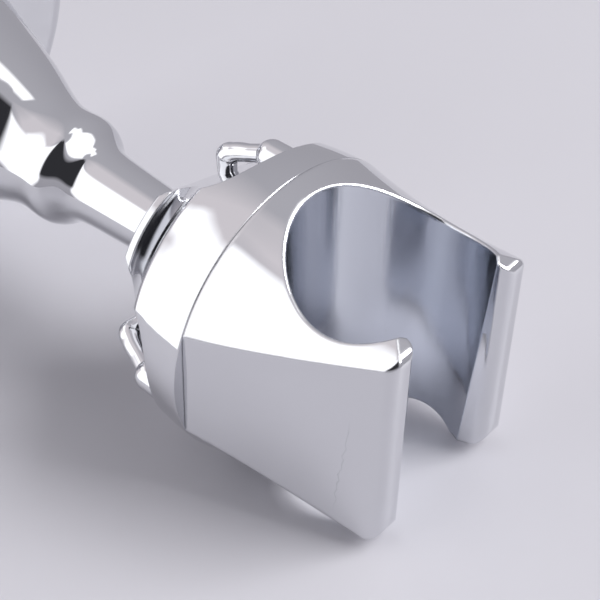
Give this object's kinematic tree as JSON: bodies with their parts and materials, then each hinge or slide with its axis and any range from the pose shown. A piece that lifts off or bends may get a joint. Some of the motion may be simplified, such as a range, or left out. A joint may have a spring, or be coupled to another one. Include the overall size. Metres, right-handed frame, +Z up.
{
  "type": "hand shower holder",
  "caption": "Chrome wall holder for a hand shower: round rose, flared arm, ball joint, clamp nut with grip loops and a slotted fork with a tapered bore.",
  "frame": {"origin": "centre of the rose on the wall plane", "axes": "+X along the arm away from the wall, +Z up along the cradle's bore, +Y to the holder's left seen from in front of the wall"},
  "size_m": [0.1159, 0.072, 0.072],
  "materials": {
    "chrome": "polished chrome plating",
    "steel": "plain zinc-plated steel",
    "brass": "turned brass",
    "nylon": "natural white plastic"
  },
  "bodies": {
    "wall_arm": {"wall_plate": "steel", "wall_flange": "chrome", "flange_set_screw": "steel", "arm": "chrome", "arm_screw": "steel", "lock_washer": "steel", "ball": "brass"},
    "seat_ring": {"rear_seat": "nylon"},
    "seat_cup": {"front_seat": "nylon"},
    "head": {"cradle": "chrome"},
    "nut": {"clamp_nut": "chrome"}
  },
  "joints": [
    {"name": "ball_roll", "type": "hinge", "parent": "wall_arm", "child": "seat_ring", "pos_m": [0.079, 0, 0], "axis": [1, 0, 0], "continuous": true},
    {"name": "ball_pitch", "type": "hinge", "parent": "seat_ring", "child": "seat_cup", "pos_m": [0.079, 0, 0], "axis": [0, 1, 0], "range_deg": [-8, 8]},
    {"name": "ball_yaw", "type": "hinge", "parent": "seat_cup", "child": "head", "pos_m": [0.079, 0, 0], "axis": [0, 0, 1], "range_deg": [-8, 8]},
    {"name": "nut_turn", "type": "hinge", "parent": "head", "child": "nut", "pos_m": [0.079, 0, 0], "axis": [-1, 0, 0], "range_deg": [0, 120]}
  ]
}
